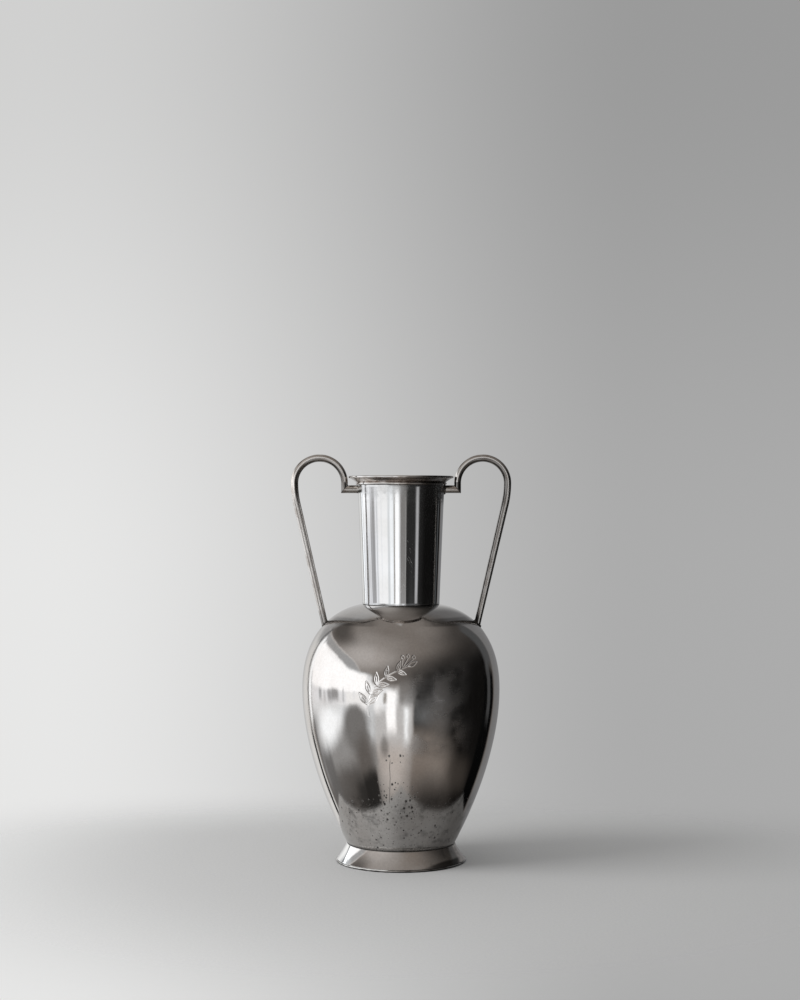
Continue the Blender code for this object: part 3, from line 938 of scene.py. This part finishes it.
def make_foot_rim():
    nose = RIM_HEIGHT / 2
    inner = RIM_RADIUS - RIM_THICKNESS
    profile = arc((RIM_RADIUS - nose, nose), nose, pi / 2, -pi / 2, ROUND_STEPS)
    place_turned("foot_wire", profile + [(inner, 0.0), (inner, RIM_HEIGHT)], 0.0, "rim", "foot_rim")


# Handles


def section(width, depth):
    """A rounded oval, as offsets across the bar in its own plane and along Y."""

    def rounded(share):
        return abs(share) ** (2.0 / SECTION_SQUARENESS) * (1 if share >= 0 else -1)

    turns = [2 * pi * i / SECTION_SIDES for i in range(SECTION_SIDES)]
    return [(width / 2 * rounded(cos(a)), depth / 2 * rounded(sin(a))) for a in turns]


def handle_stations():
    """Up from the mitre, over the loop, round the outer bend and straight down to the shoulder."""
    start = FIT / 2 * MITRE / LEG_WIDTH
    stations = [(CORNER_X, LUG_Z, pi / 2, LEG_WIDTH, LUG_THICKNESS / LEG_WIDTH, start)]
    for i in range(LOOP_STEPS + 1):
        share = i / LOOP_STEPS
        angle = pi * (1 - share)
        width = LEG_WIDTH + (CROWN_WIDTH - LEG_WIDTH) * min(1.0, 2 * share)
        x = LOOP_X + LOOP_RADIUS * cos(angle)
        stations.append((x, LOOP_Z + LOOP_RADIUS * sin(angle), angle - pi / 2, width, 0.0, 0.0))
    lean = leg_lean()
    bend = arc((BEND_X, LOOP_Z), OUTER_BEND_RADIUS, 0.0, -lean, BEND_STEPS)
    for i, (x, z) in enumerate(bend[1:], 1):
        stations.append((x, z, -lean * i / BEND_STEPS - pi / 2, CROWN_WIDTH, 0.0, 0.0))
    leg = line(bend[-1], seat_point(), LEG_STEPS)
    for i, (x, z) in enumerate(leg[1:], 1):
        width = CROWN_WIDTH + (SEAT_WIDTH - CROWN_WIDTH) * i / LEG_STEPS
        stations.append((x, z, -lean - pi / 2, width, 0.0, 0.0))
    return stations


def bar_rings(stations, side):
    """Rings of a bar through stations (x, z, heading, width, slant, shift), mirrored to side +1 or -1."""
    rings = []
    for x, z, heading, width, slant, shift in stations:
        ring = []
        for across, y in section(width, HANDLE_DEPTH):
            along = shift + slant * across
            px = x - across * sin(heading) + along * cos(heading)
            pz = z + across * cos(heading) + along * sin(heading)
            ring.append((side * px, y, pz))
        rings.append(ring)
    return rings


def onto_shoulder(ring, heading, side, gap):
    """The ring slid along its bar until each point stands gap above the shoulder."""
    slid = []
    for x, y, z in ring:
        for _ in range(12):
            miss = z - gap - shoulder_height(hypot(x, y))
            x += side * cos(heading) * miss / -sin(heading)
            z -= miss
        slid.append((x, y, z))
    return slid


def onto_neck(ring, side, gap):
    """The ring slid along X until each point stands gap off the neck."""
    return [(side * sqrt((neck_radius(z) + gap) ** 2 - y * y), y, z) for x, y, z in ring]


def bar_mesh(name, rings):
    """A closed bar from its rings, with flat ends whose edges are eased."""
    points = np.array(rings)
    start, end = points[0].mean(axis=0), points[-1].mean(axis=0)
    first = start + (points[0] - start) * END_INSET
    last = end + (points[-1] - end) * END_INSET
    near_start = 0.93 * points[:1] + 0.07 * points[1:2]
    near_end = 0.96 * points[-1:] + 0.04 * points[-2:-1]
    points = np.concatenate([[first], points[:1], near_start, points[1:-1], near_end, points[-1:], [last]])
    return grid_mesh(name, points, closed=False)


def seam_bead(name, ring, radius, seed):
    """An uneven thread of solder along a closed line of points."""
    centre_line = np.array(ring)
    ahead = np.roll(centre_line, -1, axis=0) - np.roll(centre_line, 1, axis=0)
    ahead /= np.linalg.norm(ahead, axis=1, keepdims=True)
    out = centre_line - centre_line.mean(axis=0)
    out -= np.sum(out * ahead, axis=1, keepdims=True) * ahead
    out /= np.linalg.norm(out, axis=1, keepdims=True)
    up = np.cross(ahead, out)
    phases = np.random.default_rng(seed).uniform(0, 2 * pi, 4)
    turn = even_turns(len(centre_line))
    swell = 1.0 + sum(share * np.sin(count * turn + phase) for (share, count), phase in zip(SWELLS, phases))
    thickness = radius * swell[:, None]
    grid = [centre_line + thickness * (cos(a) * out + sin(a) * up) for a in even_turns(BEAD_SIDES)]
    return grid_mesh(name, np.array(grid), closed=True)


def mitre_solder(name, ring, side):
    """A thin wafer that fills the gap of a mitre, drawn in a little from the bars' faces."""
    points = np.array(ring)
    centre = points.mean(axis=0)
    inner = centre + (points - centre) * MITRE_INSET
    across = np.array([side * LUG_THICKNESS, 0.0, LEG_WIDTH]) / MITRE
    return grid_mesh(name, np.array([inner, inner + across * FIT]), closed=False)


def make_handle(word, side, material, solder):
    stations = handle_stations()
    rings = bar_rings(stations, side)
    heading = stations[-1][2]
    rings[-1] = onto_shoulder(rings[-1], heading, side, FIT)
    place(bar_mesh(f"handle_{word}_bar", rings), material, "handles", f"handle_{word}")
    seat = onto_shoulder(rings[-1], heading, side, FIT / 2)
    radius, seed = (1.1 * MM, 3) if side > 0 else (0.5 * MM, 5)
    place(seam_bead(f"solder_seat_{word}", seat, radius, seed), solder, "lugs")


def make_lug(word, side, material, solder):
    """A level bar from the neck to the handle's mitre, with solder at both ends."""
    ends = (neck_radius(LUG_Z) + FIT, LUG_Z), (CORNER_X - LEG_WIDTH, LUG_Z)
    stations = [(x, z, 0.0, LUG_THICKNESS, 0.0, 0.0) for x, z in line(*ends, LUG_STEPS)[:-1]]
    shift = -FIT / 2 * MITRE / LUG_THICKNESS
    stations.append((CORNER_X, LUG_Z, 0.0, LUG_THICKNESS, -LEG_WIDTH / LUG_THICKNESS, shift))
    rings = bar_rings(stations, side)
    rings[0] = onto_neck(rings[0], side, FIT)
    place(bar_mesh(f"lug_{word}_bar", rings), material, "lugs", f"lug_{word}")
    joint = onto_neck(rings[0], side, FIT / 2)
    radius, seed, metal = (1.3 * MM, 7, solder) if side > 0 else (0.32 * MM, 11, material)
    place(seam_bead(f"solder_lug_{word}", joint, radius, seed), metal, "lugs")
    place(mitre_solder(f"solder_mitre_{word}", rings[-1], side), solder, "lugs")


# Stage


def make_camera():
    data = bpy.data.cameras.new("view")
    data.lens = CAMERA_LENS
    data.sensor_width = CAMERA_SENSOR
    camera = bpy.data.objects.new("view", data)
    camera.location = CAMERA_PLACE
    camera.rotation_euler = (pi / 2, 0.0, 0.0)
    bpy.context.scene.collection.objects.link(camera)
    bpy.context.scene.camera = camera


def floor_paint():
    """Pale grey with painted shade to the right, deeper where the metal mirrors it; it fades into the
    background and ends at a corner where the metal mirrors it.
    """
    material = bpy.data.materials.new("floor_paint")
    material.use_nodes = True
    graph = Graph(material.node_tree)
    shader = graph.tree.nodes["Principled BSDF"]
    shader.inputs["Roughness"].default_value = 0.85
    shader.inputs["Specular IOR Level"].default_value = 0.1
    ground = graph.add("ShaderNodeTexCoord", "Object")
    x, y, _ = graph.axes(ground)
    glossy = graph.add("ShaderNodeLightPath", "Is Glossy Ray")
    speckle = graph.noise(ground, 420, detail=4, roughness=0.7)
    colour = graph.mix(speckle.step(0.3, 0.7), *FLOOR_GREYS)
    # Painted shade: the floor darkens to the right, more for the rays that the metal mirrors.
    right_shade = glossy * (FLOOR_RIGHT_MIRRORED_SHADE - FLOOR_RIGHT_SHADE) + FLOOR_RIGHT_SHADE
    graph.feed(shader.inputs["Base Color"], graph.shaded(colour, x.step(-0.10, 0.16, 1, right_shade)))
    seen = graph.length(x, y).fall(*FLOOR_FADE) * y.fall(*FLOOR_BACK_FADE)
    mirrored = (abs(x) + abs(y)).fall(MIRRORED_CORNER - MIRRORED_SOFT, MIRRORED_CORNER + MIRRORED_SOFT)
    clear = graph.add("ShaderNodeBsdfTransparent", 0)
    cover = {0: graph.blend(glossy, seen, mirrored), 1: clear, 2: Field(graph, shader.outputs[0])}
    surface = graph.tree.nodes["Material Output"].inputs["Surface"]
    graph.feed(surface, graph.add("ShaderNodeMixShader", 0, cover))
    return material


def make_floor():
    """A pale disc just under the vase, which holds its shadow."""
    mesh = bpy.data.meshes.new("floor")
    rim = turned_points([(FLOOR_REACH, -0.02 * MM)], even_turns(FLOOR_COLUMNS))[0]
    mesh.from_pydata(rim.tolist(), [], [list(range(FLOOR_COLUMNS))])
    mesh.materials.append(floor_paint())
    floor = bpy.data.objects.new("floor", mesh)
    bpy.context.scene.collection.objects.link(floor)


class Sky(Graph):
    """The studio as the metal sees it, painted by direction: degrees round from the camera and up."""

    def __init__(self, tree):
        super().__init__(tree)
        ray = self.add("ShaderNodeTexCoord", "Generated")
        self.x, y, self.z = self.axes(ray)
        waver = self.noise(ray, 9, detail=2) - 0.5
        self.turn = self.math("ARCTAN2", self.x, y * -1) * degrees(1) + waver * WAVER_TURN
        self.rise = self.math("ARCSINE", self.z) * degrees(1) + waver * WAVER_RISE
        self.colour = self.mix(self.rise.step(-14, 6), lit(104, 0.13), lit(110, 0.13))

    def band(self, field, ends, soft):
        """1 between two ends, with soft to each side of both edges."""
        return field.within(ends[0] + soft, ends[1] - soft, 2 * soft)

    def leaned(self, turn, tilt):
        """Height above a line through turn that climbs by tilt degrees per degree."""
        return self.rise - (self.turn - turn) * tilt if tilt else self.rise

    def panel(self, turns, rises, colour, soft=(3, 3), strength=1, tilt=0):
        """A soft-edged panel between two turns and two rises, its level edges tilted."""
        mask = self.band(self.turn, turns, soft[0]) * self.band(self.leaned(turns[0], tilt), rises, soft[1])
        self.colour = self.mix(mask * strength, self.colour, colour)

    def blob(self, centre, radii, colour, soft=0.5, strength=1, tilt=0):
        """A soft-edged oval, its long axis tilted."""
        across = (self.turn - centre[0]) / radii[0]
        up = (self.leaned(centre[0], tilt) - centre[1]) / radii[1]
        mask = self.length(across, up).step(1 - soft, 1 + soft, strength, 0)
        self.colour = self.mix(mask, self.colour, colour)


def lit(level, warm=0):
    """Radiance that the body's metal shows as a grey of this 8-bit level, browner for warm above 0."""
    value = level / 255
    linear = value / 12.92 if value <= 0.04045 else ((value + 0.055) / 1.055) ** 2.4
    red, green, blue = BODY_REFLECTS
    return linear / red * (1 + warm), linear / green, linear / blue * (1 - 0.75 * warm)


def paint_ceiling(sky):
    """Warm brown-grey overhead, lighter on the left and fading into the dark on the right."""
    sky.blob((-48, 52), (46, 13), lit(136, 0.10), 0.8, 0.85)
    sky.blob((-50, 32), (38, 13), lit(166, 0.08), 0.8, 0.85)
    sky.blob((-132, 40), (46, 10), lit(62, 0.12), 0.6, 0.85, 0.07)
    sky.blob((-104, 12), (55, 20.5), lit(178, 0.06), 0.03, 0.8)
    sky.blob((-104, 12), (54, 19), lit(148, 0.02), 0.04)
    sky.panel((62, 170), (14, 58), lit(50, 0.13), (48, 14), 0.92)
    sky.blob((74, 14), (70, 20), lit(24, 0.08), 0.7, 0.92)
    sky.blob((54, 10), (18, 8), lit(15, 0.08), 0.8, 0.7)


def paint_dark_side(sky):
    sky.panel((13, 122), (-27, 13), lit(36, 0.05), (3, 8), 1, 0.03)
    sky.panel((58, 132), (-46, 18), lit(10, 0.1), (16, 7), 0.97)
    sky.blob((33, -15), (18, 5), lit(98), 0.8, 0.9)
    sky.blob((46, -19), (12, 4), lit(84, 0.1), 0.8, 0.8)


def paint_ground(sky):
    """A warm glow low on the right, dark bands on the left, and paler patches between them."""
    sky.blob((28, -34), (42, 10), lit(112, 0.18), 0.7, 0.95, -0.04)
    sky.blob((90, -32), (16, 4), lit(52, 0.2), 0.8, 0.8, 0.1)
    sky.blob((62, -50), (44, 10), lit(46, 0.12), 0.6, 0.92)
    sky.panel((-190, -34), (-56, -23), lit(92, 0.09), (4, 4))
    sky.panel((-190, -40), (-60, -36), lit(66, 0.12), (8, 7), 0.9)
    sky.panel((-36, 14), (-60, 5), lit(128, 0.10), (2.5, 3))
    sky.blob((-12, -31), (20, 16), lit(176, 0.11), 0.6, 0.95)
    sky.panel((-34, 13.5), (-30, 2), lit(182, 0.03), (2.5, 5), 0.9)


def paint_long_light(sky):
    """Brightest in its upper part, with its top edge falling towards the camera."""
    sky.panel((-127, -32), (-26, 24), lit(136, 0.04), (2, 3), 1, -0.12)
    sky.panel((-124, -104), (-34, -20), lit(92, 0.05), (4, 4), 0.8)
    sky.panel((-127, -34), (-12, 24), lit(216), (1.5, 2.5), 1, -0.12)
    sky.panel((-127, -40), (-3, 23), DAYLIGHT, (1.5, 2), 1, -0.12)
    sky.blob((-42, -2), (19, 10), DAYLIGHT, 0.35, 1, -0.3)
    sky.blob((-24, -4), (17, 7.5), lit(238), 0.5, 0.85, -0.15)
    sky.blob((-97, -17), (20, 5.5), lit(250), 0.6, 0.95)
    sky.blob((-104, 12), (36, 12.5), DAYLIGHT, 0.10, 0.9)


def paint_narrow_lights(sky):
    sky.panel((-40, -31), (-27, -3), lit(194), (3, 4), 0.9)
    sky.panel((-17, -5.5), (-24, 0), DAYLIGHT, (2, 3))
    sky.panel((2, 11), (-30, -10), lit(190, 0.03), (2, 2))
    sky.panel((4, 8.5), (-27, -11), lit(240), (2, 2))
    sky.panel((-2, 13), (-9.5, 9), lit(106, 0.08), (2, 3), 0.9)
    sky.blob((-21, -30), (5, 4), lit(92, 0.1), 0.5, 0.75)


def paint_dark_shapes(sky):
    """A rounded dark shape in front of the long light and a dark block under it."""
    sky.blob((-56, -20), (17, 11), lit(108, 0.06), 0.35)
    sky.blob((-49, -33), (12, 9), lit(88, 0.12), 0.6, 0.95)
    sky.panel((-74, -36), (-60, -38.5), lit(42, 0.1), (9, 3), 0.95)
    sky.panel((-58, -36), (-60, -38.5), lit(36, 0.1), (1, 3))


def paint_low_blocks(sky):
    """A pale band low in the long light with duller blocks on it, and two slits beside the narrow lights."""
    sky.panel((-126, -42), (-9.5, -3), (1.24, 1.26, 1.31), (3, 1.2))
    sky.panel((-66, -37), (-9.5, -3), (1.42, 1.43, 1.45), (2, 1.2))
    sky.panel((-94, -87), (-8.5, -3), (0.56, 0.56, 0.58), (2, 1.6))
    sky.panel((-87.5, -77), (-8, -2), (0.50, 0.50, 0.51), (2, 1.6))
    sky.panel((-101, -97), (-9, -4), (0.90, 0.91, 0.94), (1.5, 1.2))
    sky.panel((-110, -104.5), (-8, -3), (0.62, 0.63, 0.65), (1.5, 1.5))
    sky.panel((-71, -69), (-9, -1), (0.80, 0.82, 0.85), (1, 1.5))
    sky.panel((-57, -54), (-7, -2), (1.30, 1.32, 1.36), (1, 1))
    sky.panel((-20, -16.5), (-9, -2), (0.50, 0.48, 0.45), (1.5, 1))
    sky.panel((41.5, 49), (-9, -2), (0.62, 0.62, 0.64), (2.5, 1))


def paint_walls(sky):
    """Walls behind the vase, with bright and dark strips at their near ends."""
    sky.panel((-260, -132), (-70, 13), WALL_LEFT, (2, 7))
    sky.panel((-260, -141), (16, 56), lit(142, 0.02), (6, 6))
    sky.panel((138, 260), (-70, 54), WALL_RIGHT, (3, 12))
    sky.panel((112, 135), (-32, 2), lit(6), (2.5, 3))
    sky.panel((119.5, 127), (-13, 8), lit(62), (1.5, 3), 0.9)
    sky.panel((122, 138), (5, 40), lit(70), (3, 3), 0.9)
    sky.panel((-134.5, -129), (-13, 24), lit(250), (1, 2))
    sky.panel((-139, -136), (-13, -2), lit(58), (1, 2))
    sky.panel((-141, -135.5), (-32, -13), lit(10), (1, 2))
    sky.panel((-140, -136.5), (-2, 30), lit(90), (1, 2), 0.9)
    sky.panel((-128, -125), (-24, -13), lit(100), (1, 2), 0.9)
    sky.panel((-260, -157), (-90, 90), BEHIND_LIGHT, (12, 5))
    sky.panel((172, 260), (-90, 90), BEHIND_LIGHT, (8, 5))


def make_world():
    """The camera sees the backdrop, mirrors see the studio, and all else is lit by one plain level."""
    world = bpy.data.worlds.new("studio")
    world.use_nodes = True
    sky = Sky(world.node_tree)
    paint_ceiling(sky)
    paint_dark_side(sky)
    paint_ground(sky)
    paint_long_light(sky)
    paint_narrow_lights(sky)
    paint_dark_shapes(sky)
    paint_low_blocks(sky)
    paint_walls(sky)
    # Painted light on the backdrop: paler on the left, darker on the right and higher up.
    backdrop = sky.mix(sky.x.step(-0.20, 0.14), BACKDROP_LEFT, BACKDROP_RIGHT)
    backdrop = sky.shaded(backdrop, sky.z.step(-0.05, 0.26, 1, BACKDROP_TOP_SHADE))
    camera = sky.add("ShaderNodeLightPath", "Is Camera Ray")
    glossy = sky.add("ShaderNodeLightPath", "Is Glossy Ray")
    through = sky.add("ShaderNodeLightPath", "Is Transmission Ray")
    shown = sky.mix(sky.largest(glossy, through), PLAIN_LEVEL, sky.colour)
    background = sky.tree.nodes["Background"].inputs
    sky.feed(background["Color"], sky.mix(camera, shown, backdrop))
    background["Strength"].default_value = 1.0
    bpy.context.scene.world = world


def make_lamp():
    data = bpy.data.lights.new("window_light", "AREA")
    data.shape = "RECTANGLE"
    data.size, data.size_y = LAMP_SIZE
    data.energy = LAMP_POWER
    lamp = bpy.data.objects.new("window_light", data)
    lamp.location = LAMP_PLACE
    lamp.rotation_euler = LAMP_TURN
    lamp.visible_glossy = False
    bpy.context.scene.collection.objects.link(lamp)


def main():
    make_camera()
    make_foot_rim()
    make_foot()
    make_body()
    make_neck()
    make_lip()
    bar, lug, solder = (metal_finish(kind) for kind in ("handle", "lug", "solder"))
    for word, side in (("left", -1), ("right", 1)):
        make_handle(word, side, bar, solder)
        make_lug(word, side, lug, solder)
    make_floor()
    make_world()
    make_lamp()
    bpy.context.scene.view_settings.view_transform = "Standard"


main()
